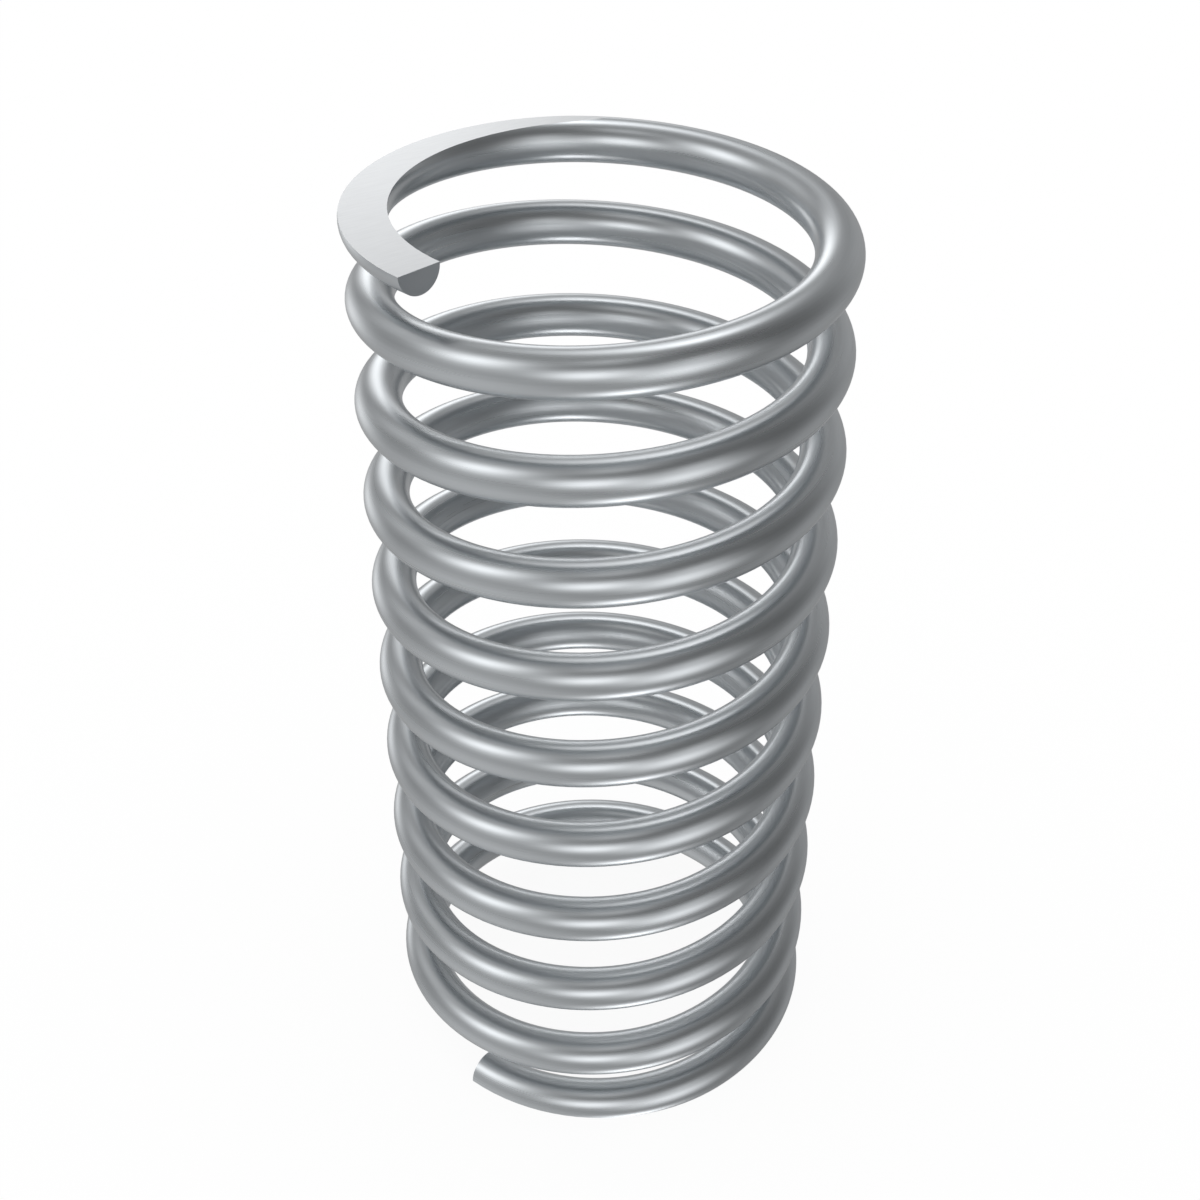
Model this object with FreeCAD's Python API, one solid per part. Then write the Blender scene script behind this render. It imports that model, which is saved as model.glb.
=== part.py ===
import FreeCAD, Part
import math
import os

# Compression spring of round wire, coiled right-handed, with its end turns drawn in and
# ground flat. Millimetres. Z is the axis of the coil, and the lower ground face is at Z = 0.

# Sizes that can be set by themselves
wire_diameter = 2.0
outer_diameter = 21.0
free_length = 43.5
total_turns = 9.9825
closing_turns = 1.25  # length, in turns, over which the pitch shrinks towards each tip
end_gap = 1.25  # air between the tip of the wire and the turn next to it
tip_thickness = 1.0  # wire left standing at each tip once the end is ground
lower_tip_angle = 231.4  # where the wire starts, in degrees from X towards Y

# Sizes that follow from them
wire_radius = wire_diameter / 2
coil_radius = (outer_diameter - wire_diameter) / 2  # from the axis to the middle of the wire
tip_height = tip_thickness - wire_radius  # middle of the wire at the lower tip
rise = free_length - 2 * tip_height  # climb of the wire's middle from tip to tip


def solve_pitches():
    """Pitch of the working turns and pitch at the tips, in mm a turn.

    Over closing_turns the pitch goes evenly from tip_pitch to work_pitch, so two sums hold:
    the whole coil climbs by rise, and the first turn climbs by the wire and end_gap.
    """
    first_climb = wire_diameter + end_gap
    work_turns = total_turns - closing_turns
    work_share = 1 / (2 * closing_turns)
    tip_share = 1 - work_share
    determinant = work_turns * tip_share - closing_turns * work_share
    work_pitch = (rise * tip_share - first_climb * closing_turns) / determinant
    tip_pitch = (first_climb * work_turns - rise * work_share) / determinant
    return work_pitch, tip_pitch


def coil_centreline(work_pitch, tip_pitch):
    """The middle of the wire, drawn on the unrolled cylinder and wrapped round it.

    Unrolled, an even change of pitch is a parabola and an even pitch is a straight line, so
    one quadratic spline with two inner knots holds both and runs smoothly from tip to tip.
    It is cut at those knots into the lower end turns, the working turns and the upper ones.
    """
    closing_angle = 2 * math.pi * closing_turns
    whole_angle = 2 * math.pi * total_turns
    start_angle = math.radians(lower_tip_angle)
    tip_climb = tip_pitch * closing_turns / 2
    angles = [0, closing_angle / 2, whole_angle / 2, whole_angle - closing_angle / 2, whole_angle]
    climbs = [0, tip_climb, rise / 2, rise - tip_climb, rise]
    poles = [
        FreeCAD.Base.Vector2d(start_angle + angle, tip_height + climb)
        for angle, climb in zip(angles, climbs)
    ]
    knots = [0, closing_angle, whole_angle - closing_angle, whole_angle]
    unrolled = Part.Geom2d.BSplineCurve2d()
    unrolled.buildFromPolesMultsKnots(poles, [3, 1, 1, 3], knots, False, 2)
    cylinder = Part.Cylinder()
    cylinder.Radius = coil_radius
    return [unrolled.toShape(cylinder, first, last) for first, last in zip(knots, knots[1:])]


def coiled_wire(spans):
    """Round wire along the spans, cropped square to itself at both tips."""
    start = spans[0].valueAt(spans[0].FirstParameter)
    direction = spans[0].tangentAt(spans[0].FirstParameter)
    section = Part.Circle(start, direction, wire_radius)
    section.XAxis = FreeCAD.Vector(0, 0, -1)  # the seam of the surface runs underneath
    sweep = Part.BRepOffsetAPI.MakePipeShell(Part.Wire(spans))
    sweep.setFrenetMode(True)
    sweep.add(Part.Wire([section.toShape()]))
    sweep.build()
    sweep.makeSolid()
    return sweep.shape()


def ground_flat(wire):
    """The wire between the two grinding planes, which cut a crescent on each end turn."""
    half_width = outer_diameter
    slab = Part.makeBox(
        2 * half_width,
        2 * half_width,
        free_length,
        FreeCAD.Vector(-half_width, -half_width, 0),
    )
    return wire.common(slab).Solids[0]


work_pitch, tip_pitch = solve_pitches()
spans = coil_centreline(work_pitch, tip_pitch)
spring = ground_flat(coiled_wire(spans))

os.makedirs("parts", exist_ok=True)
spring.exportStep("parts/spring_wire.step")
print("pitch of the working turns", round(work_pitch, 4), "and at the tips", round(tip_pitch, 4))
wire_length = sum(span.Length for span in spans)
print("wire length", round(wire_length, 2), "volume", round(spring.Volume, 2))
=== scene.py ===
from functools import partial
import math

import bpy
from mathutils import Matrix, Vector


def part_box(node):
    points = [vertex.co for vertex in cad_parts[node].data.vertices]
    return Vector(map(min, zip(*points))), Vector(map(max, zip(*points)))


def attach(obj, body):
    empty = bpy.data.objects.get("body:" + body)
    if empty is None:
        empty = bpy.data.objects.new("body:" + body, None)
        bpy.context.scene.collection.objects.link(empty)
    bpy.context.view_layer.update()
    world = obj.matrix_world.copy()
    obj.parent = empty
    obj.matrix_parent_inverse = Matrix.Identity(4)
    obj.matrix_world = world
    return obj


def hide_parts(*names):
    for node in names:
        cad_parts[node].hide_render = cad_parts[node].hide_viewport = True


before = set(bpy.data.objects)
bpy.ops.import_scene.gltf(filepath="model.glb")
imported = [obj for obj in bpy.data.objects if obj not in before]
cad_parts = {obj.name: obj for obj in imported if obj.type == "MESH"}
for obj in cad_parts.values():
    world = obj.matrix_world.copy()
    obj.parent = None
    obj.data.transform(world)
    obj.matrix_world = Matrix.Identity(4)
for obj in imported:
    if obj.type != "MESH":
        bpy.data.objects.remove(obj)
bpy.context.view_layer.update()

# A compression spring: one round steel wire, coiled right-handed, with both ends ground flat.
# Everything is in metres, and the lower ground face is at Z = 0.

mm = 0.001
springLow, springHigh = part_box("spring_wire")


# #RRGGBB as the linear colour that a shader socket takes
def colourFromHex(text):
    parts = [int(text[at:at + 2], 16) / 255 for at in (1, 3, 5)]
    return [c / 12.92 if c <= 0.04045 else ((c + 0.055) / 1.055) ** 2.4 for c in parts] + [1]


def addNode(tree, kind, *links, named=None, **settings):
    # links fill the node's live inputs in order, None leaves one alone, named goes by name
    node = tree.nodes.new(kind)
    for name, value in settings.items():
        setattr(node, name, value)
    live = [socket for socket in node.inputs if socket.enabled]
    pairs = list(zip(live, links))
    pairs += [(node.inputs[name], value) for name, value in (named or {}).items()]
    for socket, value in pairs:
        if isinstance(value, bpy.types.Node):
            value = next(output for output in value.outputs if output.enabled)
        if isinstance(value, bpy.types.NodeSocket):
            tree.links.new(value, socket)
        elif value is not None:
            socket.default_value = value
    return node


# the three finishes of the steel

metallic = 1.0
noiseLow, noiseHigh = 0.3, 0.7  # nearly all of a noise's values lie between these


def newMaterial(name):
    material = bpy.data.materials.new(name)
    material.use_nodes = True
    material.node_tree.nodes.clear()
    return material, partial(addNode, material.node_tree)


# two tones of one metal, shared out by a noise
def twoTones(add, noise, darker, lighter):
    share = add("ShaderNodeMapRange", noise, noiseLow, noiseHigh)
    return add("ShaderNodeMix", share, colourFromHex(darker), colourFromHex(lighter),
               data_type="RGBA")


# bare metal, with a noise as its relief
def bareMetal(add, noise, depth, colour, roughness):
    relief = add("ShaderNodeBump", named={"Distance": depth, "Height": noise})
    metal = add("ShaderNodeBsdfPrincipled", colour, metallic, roughness,
                named={"Normal": relief})
    add("ShaderNodeOutputMaterial", metal)


# drawn and tempered spring steel: a satin metal with faint lines along the wire
wireFinish = {
    "colour": "#CACED1",
    "lineColour": "#C6CACD",  # a little darker, where the die left its lines
    "roughness": 0.28,
    "roughnessSpread": 0.007,
    "lineSpacing": 0.09 * mm,  # real die lines lie about 0.03 mm apart, too fine to show here
    "lineLength": 12.0 * mm,
    "lineDepth": 0.0003 * mm,
}


def drawnSpringSteel():
    finish = wireFinish
    material, add = newMaterial("drawnSpringSteel")
    wire = add("ShaderNodeAttribute", attribute_name="straightWire").outputs["Vector"]
    length, spacing = finish["lineLength"], finish["lineSpacing"]
    stretched = add("ShaderNodeMapping", wire, None, None, (spacing, spacing, length),
                    vector_type="TEXTURE")
    lines = add("ShaderNodeTexNoise", stretched, named={"Scale": 1, "Detail": 2}).outputs["Fac"]
    low = finish["roughness"] - finish["roughnessSpread"]
    high = finish["roughness"] + finish["roughnessSpread"]
    roughness = add("ShaderNodeMapRange", lines, noiseLow, noiseHigh, low, high)
    colour = twoTones(add, lines, finish["lineColour"], finish["colour"])
    bareMetal(add, lines, finish["lineDepth"], colour, roughness)
    return material


# the same steel cut by a grinding wheel: brighter, with fine straight marks
groundFinish = {
    "colour": "#C5C7C9",
    "markColour": "#BFC1C3",  # a little darker, down in the marks
    "roughness": 0.28,
    "markSpacing": 0.08 * mm,  # a fine wheel leaves marks about 0.02 mm apart, drawn coarser
    "markLength": 0.9 * mm,
    "markDepth": 0.0004 * mm,
    "markDirection": 35,  # degrees from X towards Y
}


def groundSpringSteel():
    finish = groundFinish
    material, add = newMaterial("groundSpringSteel")
    place = add("ShaderNodeTexCoord").outputs["Object"]
    length, spacing = finish["markLength"], finish["markSpacing"]
    turned = (0, 0, math.radians(finish["markDirection"]))
    stretched = add("ShaderNodeMapping", place, None, turned, (length, spacing, spacing),
                    vector_type="TEXTURE")
    marks = add("ShaderNodeTexNoise", stretched, named={"Scale": 1, "Detail": 3}).outputs["Fac"]
    colour = twoTones(add, marks, finish["markColour"], finish["colour"])
    bareMetal(add, marks, finish["markDepth"], colour, finish["roughness"])
    return material


# the sheared end of the wire: a dull, slightly grainy face
cropFinish = {
    "colour": "#CDD1D5",
    "roughness": 0.28,
    "grain": 0.12 * mm,  # torn steel has a grain of about 0.03 mm, drawn coarser
    "grainDepth": 0.0012 * mm,
}


def croppedSpringSteel():
    finish = cropFinish
    material, add = newMaterial("croppedSpringSteel")
    place = add("ShaderNodeTexCoord").outputs["Object"]
    grain = add("ShaderNodeTexNoise", place, named={"Scale": 1 / finish["grain"], "Detail": 3})
    colour = colourFromHex(finish["colour"])
    bareMetal(add, grain.outputs["Fac"], finish["grainDepth"], colour, finish["roughness"])
    return material


# the coil

coil = {
    "wireDiameter": 2.0 * mm,
    "outerDiameter": springHigh.x - springLow.x,
    "freeLength": springHigh.z - springLow.z,
    "turns": 9.9825,
    "closingTurns": 1.25,  # turns over which the pitch shrinks towards each tip
    "endGap": 1.25 * mm,  # air between a tip and the turn next to it
    "tipThickness": 1.0 * mm,  # wire left standing at each tip once it is ground
    "lowerTipAngle": math.radians(231.4),  # from X towards Y
    "facesRoundHalf": 36,  # faces over each half of the wire's section
    "rowsPerTurn": 120,
    "groundRows": 72,  # rows along each ground face, closer together towards its thin end
    "seamGap": 0.0001 * mm,  # nearer points are joined, which closes the section's two seams
}


def coilSizes():
    wireRadius = coil["wireDiameter"] / 2
    tipHeight = coil["tipThickness"] - wireRadius
    rise = coil["freeLength"] - 2 * tipHeight
    firstClimb = coil["wireDiameter"] + coil["endGap"]
    closing, turns = coil["closingTurns"], coil["turns"]
    # the whole coil climbs by rise and its first turn by firstClimb, which fixes both pitches
    workTurns = turns - closing
    workShare = 1 / (2 * closing)
    tipShare = 1 - workShare
    spread = workTurns * tipShare - closing * workShare
    workPitch = (rise * tipShare - firstClimb * closing) / spread
    tipPitch = (firstClimb * workTurns - rise * workShare) / spread
    # the ground face ends where the middle of the wire is one radius from the grinding plane
    toClimb = wireRadius - tipHeight
    growth = (workPitch - tipPitch) / (2 * closing)
    groundTurns = 2 * toClimb / (tipPitch + math.sqrt(tipPitch ** 2 + 4 * growth * toClimb))
    bodyRows = round(coil["rowsPerTurn"] * (turns - 2 * groundTurns))
    return {
        "Wire Radius": wireRadius,
        "Coil Radius": coil["outerDiameter"] / 2 - wireRadius,
        "Free Length": coil["freeLength"],
        "Turns": turns,
        "Closing Turns": closing,
        "Work Pitch": workPitch,
        "Tip Pitch": tipPitch,
        "Tip Height": tipHeight,
        "Start Angle": coil["lowerTipAngle"],
        "Ground Turns": groundTurns,
        "Ground Rows": coil["groundRows"],
        "Last Row": bodyRows + 2 * coil["groundRows"],
        "Half Faces": coil["facesRoundHalf"],
        "Seam Gap": coil["seamGap"],
    }


def coilTree(sizes, wireSteel, groundSteel, croppedSteel):
    tree = bpy.data.node_groups.new("coiledWire", "GeometryNodeTree")
    for name, value in sizes.items():
        kind = "NodeSocketInt" if isinstance(value, int) else "NodeSocketFloat"
        tree.interface.new_socket(name, in_out="INPUT", socket_type=kind)
    tree.interface.new_socket("Geometry", in_out="OUTPUT", socket_type="NodeSocketGeometry")
    add = partial(addNode, tree)
    size = add("NodeGroupInput").outputs

    # a straight rod with capped ends, whose points then move to their places on the coil
    halfPoints = add("ShaderNodeMath", size["Half Faces"], 1, operation="ADD")
    ringPoints = add("ShaderNodeMath", halfPoints, 2, operation="MULTIPLY")
    rod = add("GeometryNodeMeshCylinder", ringPoints, size["Last Row"], fill_type="NGON")
    index = add("GeometryNodeInputIndex")
    rowAndPart = add("ShaderNodeMath", index, ringPoints, operation="DIVIDE")
    row = add("ShaderNodeMath", rowAndPart, operation="FLOOR")
    column = add("ShaderNodeMath", index, ringPoints, operation="MODULO")

    # turns from the nearer tip, with rows closing up towards the thin end of the ground face
    rowFromTop = add("ShaderNodeMath", size["Last Row"], row, operation="SUBTRACT")
    rowFromTip = add("ShaderNodeMath", row, rowFromTop, operation="MINIMUM")
    nearTop = add("ShaderNodeMath", row, rowFromTop, operation="GREATER_THAN")
    groundShare = add("ShaderNodeMath", rowFromTip, size["Ground Rows"], operation="DIVIDE",
                      use_clamp=True)
    shareLeft = add("ShaderNodeMath", 2, groundShare, operation="SUBTRACT")
    easedShare = add("ShaderNodeMath", groundShare, shareLeft, operation="MULTIPLY")
    alongGround = add("ShaderNodeMath", easedShare, size["Ground Turns"], operation="MULTIPLY")
    bodyTo = add("ShaderNodeMath", size["Last Row"], size["Ground Rows"], operation="SUBTRACT")
    turnsTo = add("ShaderNodeMath", size["Turns"], size["Ground Turns"], operation="SUBTRACT")
    turnsLeft = add("ShaderNodeMath", turnsTo, size["Ground Turns"], operation="SUBTRACT")
    alongBody = add("ShaderNodeMapRange", rowFromTip, size["Ground Rows"], bodyTo, 0, turnsLeft)
    turnsFromTip = add("ShaderNodeMath", alongGround, alongBody, operation="ADD")

    # pitch there, and height of the wire's middle above the nearer ground face
    pitch = add("ShaderNodeMapRange", turnsFromTip, 0, size["Closing Turns"], size["Tip Pitch"],
                size["Work Pitch"])
    closingPart = add("ShaderNodeMath", turnsFromTip, size["Closing Turns"], operation="MINIMUM")
    workPart = add("ShaderNodeMath", turnsFromTip, closingPart, operation="SUBTRACT")
    pitchSum = add("ShaderNodeMath", pitch, size["Tip Pitch"], operation="ADD")
    meanPitch = add("ShaderNodeMath", pitchSum, 2, operation="DIVIDE")
    closingClimb = add("ShaderNodeMath", closingPart, meanPitch, size["Tip Height"],
                       operation="MULTIPLY_ADD")
    climb = add("ShaderNodeMath", workPart, size["Work Pitch"], closingClimb,
                operation="MULTIPLY_ADD")

    # the upper half of the coil is the same, measured down from the upper ground face
    climbLeft = add("ShaderNodeMath", size["Free Length"], climb, operation="SUBTRACT")
    height = add("ShaderNodeMix", nearTop, climb, climbLeft)
    turnsAbove = add("ShaderNodeMath", size["Turns"], turnsFromTip, operation="SUBTRACT")
    turn = add("ShaderNodeMix", nearTop, turnsFromTip, turnsAbove)
    angle = add("ShaderNodeMath", turn, 2 * math.pi, size["Start Angle"],
                operation="MULTIPLY_ADD")

    # slope of the wire, which leans its section back
    aroundOnce = add("ShaderNodeMath", size["Coil Radius"], 2 * math.pi, operation="MULTIPLY")
    slope = add("ShaderNodeMath", pitch, aroundOnce, operation="ARCTAN2")
    slopeSine = add("ShaderNodeMath", slope, operation="SINE")
    slopeCosine = add("ShaderNodeMath", slope, operation="COSINE")
    reach = add("ShaderNodeMath", size["Wire Radius"], slopeCosine, operation="MULTIPLY")

    # how far round the section runs, from the lower plane to the upper one, on both halves
    room = add("ShaderNodeMath", size["Free Length"], height, operation="SUBTRACT")
    roomAbove = add("ShaderNodeMath", room, reach, operation="DIVIDE", use_clamp=True)
    roomBelow = add("ShaderNodeMath", height, reach, operation="DIVIDE", use_clamp=True)
    upTo = add("ShaderNodeMath", roomAbove, operation="ARCSINE")
    downBy = add("ShaderNodeMath", roomBelow, operation="ARCSINE")
    downTo = add("ShaderNodeMath", downBy, -1, operation="MULTIPLY")
    middle = add("ShaderNodeMath", halfPoints, 0.5, operation="SUBTRACT")
    pastMiddle = add("ShaderNodeMath", middle, column, operation="SUBTRACT")
    side = add("ShaderNodeMath", pastMiddle, operation="SIGN")
    fromMiddle = add("ShaderNodeMath", pastMiddle, operation="ABSOLUTE")
    around = add("ShaderNodeMapRange", fromMiddle, middle, 0.5, downTo, upTo)
    cosine = add("ShaderNodeMath", around, operation="COSINE")
    sine = add("ShaderNodeMath", around, operation="SINE")
    outwardShare = add("ShaderNodeMath", cosine, side, operation="MULTIPLY")
    outward = add("ShaderNodeMath", outwardShare, size["Wire Radius"], operation="MULTIPLY")
    upward = add("ShaderNodeMath", sine, size["Wire Radius"], operation="MULTIPLY")

    # the point beside the axis, then turned to its angle
    fromAxis = add("ShaderNodeMath", outward, size["Coil Radius"], operation="ADD")
    backward = add("ShaderNodeMath", upward, slopeSine, operation="MULTIPLY")
    sideways = add("ShaderNodeMath", backward, -1, operation="MULTIPLY")
    level = add("ShaderNodeMath", upward, slopeCosine, height, operation="MULTIPLY_ADD")
    unturned = add("ShaderNodeCombineXYZ", fromAxis, sideways, level)
    place = add("ShaderNodeVectorRotate", unturned, (0, 0, 0), named={"Angle": angle},
                rotation_type="Z_AXIS")
    coiled = add("GeometryNodeSetPosition", rod, None, place)

    # the same point on the wire pulled straight, for patterns that follow it
    wireAlong = add("ShaderNodeMath", turn, aroundOnce, operation="MULTIPLY")
    straight = add("ShaderNodeCombineXYZ", outward, upward, wireAlong)
    marked = add("GeometryNodeStoreNamedAttribute", coiled, None, "straightWire", straight,
                 domain="POINT", data_type="FLOAT_VECTOR")
    closed = add("GeometryNodeMergeByDistance", marked, None, size["Seam Gap"])

    # ground faces look straight up or down, and only a cropped end has more than four corners
    levelFrom, quadCorners = 0.99999, 4
    facing = add("ShaderNodeSeparateXYZ", add("GeometryNodeInputNormal").outputs["True Normal"])
    upOrDown = add("ShaderNodeMath", facing.outputs["Z"], operation="ABSOLUTE")
    isGround = add("FunctionNodeCompare", upOrDown, levelFrom, operation="GREATER_THAN")
    corners = add("GeometryNodeInputMeshFaceNeighbors").outputs["Vertex Count"]
    isEnd = add("FunctionNodeCompare", corners, quadCorners, operation="GREATER_THAN")

    # smooth, with crisp edges where drawn wire (0), ground face (1) and cropped end (2) meet
    surface = add("ShaderNodeMath", isEnd, 2, isGround, operation="MULTIPLY_ADD")
    borders = add("GeometryNodeMeshFaceSetBoundaries", surface)
    rounded = add("GeometryNodeSetShadeSmooth", closed, None, True, domain="FACE")
    crisp = add("GeometryNodeSetShadeSmooth", rounded, borders, False, domain="EDGE")
    single = add("GeometryNodeRealizeInstances", crisp)
    finished = add("GeometryNodeSetMaterial", single, None, wireSteel)
    finished = add("GeometryNodeSetMaterial", finished, isGround, groundSteel)
    finished = add("GeometryNodeSetMaterial", finished, isEnd, croppedSteel)
    add("NodeGroupOutput", finished)
    return tree


def makeSpring():
    finishes = drawnSpringSteel(), groundSpringSteel(), croppedSpringSteel()
    print("finishes:", ", ".join(finish.name for finish in finishes))
    sizes = coilSizes()
    tree = coilTree(sizes, *finishes)
    print("coil:", len(tree.nodes), "nodes,", sizes["Last Row"], "rows along the wire")
    maker = bpy.data.objects.new("coilMaker", bpy.data.meshes.new("coilMaker"))
    bpy.context.scene.collection.objects.link(maker)
    modifier = maker.modifiers.new("coiledWire", "NODES")
    modifier.node_group = tree
    for socket in tree.interface.items_tree:
        if socket.in_out == "INPUT":
            modifier[socket.identifier] = sizes[socket.name]
    depsgraph = bpy.context.evaluated_depsgraph_get()
    mesh = bpy.data.meshes.new_from_object(maker.evaluated_get(depsgraph), depsgraph=depsgraph)
    bpy.data.objects.remove(maker)
    mesh.materials.pop(index=0)  # the empty slot that the bare rod had
    mesh.name = "springWire"
    spring = bpy.data.objects.new("springWire", mesh)
    bpy.context.scene.collection.objects.link(spring)
    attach(spring, "root")
    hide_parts("spring_wire")
    print("spring:", len(mesh.vertices), "points,", len(mesh.polygons), "faces")


# the studio

# Soft lamps as the satin metal sees them: azimuth from X towards Y and elevation, both in
# degrees, then spread in degrees and strength.
softLamps = {
    "front": (-99.1, 17.3, 11.5, 1.79),
    "frontTop": (-98.8, 69.4, 6.7, 0.72),
    "frontRight": (-58.8, -2.6, 15.2, 1.37),
    "frontRightHigh": (-52.0, 29.1, 8.0, 0.62),
    "leftHigh": (-162.0, 39.9, 11.1, 1.71),
    "leftFill": (-147.6, 26.6, 14.8, 0.41),
    "leftWall": (-158.6, -44.3, 40.6, 0.57),
    "rearLeft": (144.8, 32.7, 13.0, 0.47),
    "rearLeftLow": (133.1, -10.8, 10.4, 0.97),
    "rear": (99.4, 13.9, 8.7, 2.07),
    "rearTop": (90.8, 57.1, 8.7, 1.22),
    "rearLow": (84.3, -28.5, 21.6, 0.26),
    "rearWall": (50.2, 12.3, 20.4, 0.28),
    "top": (65.8, 66.5, 5.4, 2.86),
    "topFill": (85.3, 70.8, 26.5, 0.26),
    "rightLow": (14.4, -26.4, 20.9, 0.25),
    "underFront": (-60.4, -68.6, 8.1, 1.39),
    "under": (-51.6, -76.8, 5.1, 2.20),
}
studio = {
    "background": 1.0,  # white for the camera, and the plain level that lights dull surfaces
    "dimmest": 0.1,  # what metal sees between the lamps
    "floorRadius": 2.0,
    "floorSides": 72,
    "floorDrop": 0.02 * mm,  # how far the floor lies under the ground face that stands on it
    "floorGlow": 0.92,  # share of the floor's white that a shadow doesn't darken
}
white = (1, 1, 1, 1)


def lightStudio():
    world = bpy.data.worlds.new("softStudio")
    world.use_nodes = True
    world.cycles.sampling_method = "NONE"  # lamps this broad are found without it
    world.node_tree.nodes.clear()
    add = partial(addNode, world.node_tree)
    direction = add("ShaderNodeTexCoord").outputs["Generated"]
    glow = studio["dimmest"]
    for azimuth, elevation, spread, strength in softLamps.values():
        turned, raised = math.radians(azimuth), math.radians(elevation)
        flat = math.cos(raised)
        towards = (flat * math.cos(turned), flat * math.sin(turned), math.sin(raised))
        tightness = 1 / math.radians(spread) ** 2  # brightest in the middle, fading like a bell
        aim = add("ShaderNodeVectorMath", direction, towards, operation="DOT_PRODUCT")
        fall = add("ShaderNodeMath", aim, tightness, -tightness, operation="MULTIPLY_ADD")
        lamp = add("ShaderNodeMath", fall, operation="EXPONENT")
        glow = add("ShaderNodeMath", lamp, strength, glow, operation="MULTIPLY_ADD")
    seenInMetal = add("ShaderNodeLightPath").outputs["Is Glossy Ray"]
    level = add("ShaderNodeMix", seenInMetal, studio["background"], glow)
    add("ShaderNodeOutputWorld", add("ShaderNodeBackground", white, level))
    bpy.context.scene.world = world
    print("light:", len(softLamps), "soft lamps for the metal, plain white for the rest")


def layFloor():
    material, add = newMaterial("palePaper")
    glow = add("ShaderNodeEmission", white, studio["floorGlow"])
    rest = 1 - studio["floorGlow"]
    paper = add("ShaderNodeBsdfDiffuse", (rest, rest, rest, 1))
    add("ShaderNodeOutputMaterial", add("ShaderNodeAddShader", glow, paper))
    radius, sides = studio["floorRadius"], studio["floorSides"]
    angles = [2 * math.pi * side / sides for side in range(sides)]
    corners = [(radius * math.cos(angle), radius * math.sin(angle), 0) for angle in angles]
    mesh = bpy.data.meshes.new("floor")
    mesh.from_pydata(corners, [], [list(range(sides))])
    mesh.materials.append(material)
    floor = bpy.data.objects.new("floor", mesh)
    bpy.context.scene.collection.objects.link(floor)
    floor.visible_glossy = False  # the metal sees the low lamps instead
    floor.location.z = -studio["floorDrop"]
    print("floor: a pale disc of", radius, "m radius")


# the camera of the photograph

photoCamera = {
    "place": (0, -63.27 * mm, 68.69 * mm),
    "down": 35.209,  # degrees below the horizon
    "right": -0.1146,  # degrees from +Y towards +X
    "lens": 50.078,  # in millimetres, like the sensor's width
    "sensor": 36,
    "nearest": 1 * mm,
}


def placeCamera():
    data = bpy.data.cameras.new("photoCamera")
    data.lens = photoCamera["lens"]
    data.sensor_width = photoCamera["sensor"]
    data.clip_start = photoCamera["nearest"]
    camera = bpy.data.objects.new("photoCamera", data)
    bpy.context.scene.collection.objects.link(camera)
    down, right = math.radians(photoCamera["down"]), math.radians(photoCamera["right"])
    camera.location = photoCamera["place"]
    camera.rotation_euler = (math.pi / 2 - down, 0, -right)
    bpy.context.scene.camera = camera
    print("camera:", photoCamera["down"], "degrees down,", photoCamera["lens"], "mm lens")


bpy.context.scene.view_settings.view_transform = "Standard"
makeSpring()
lightStudio()
layFloor()
placeCamera()
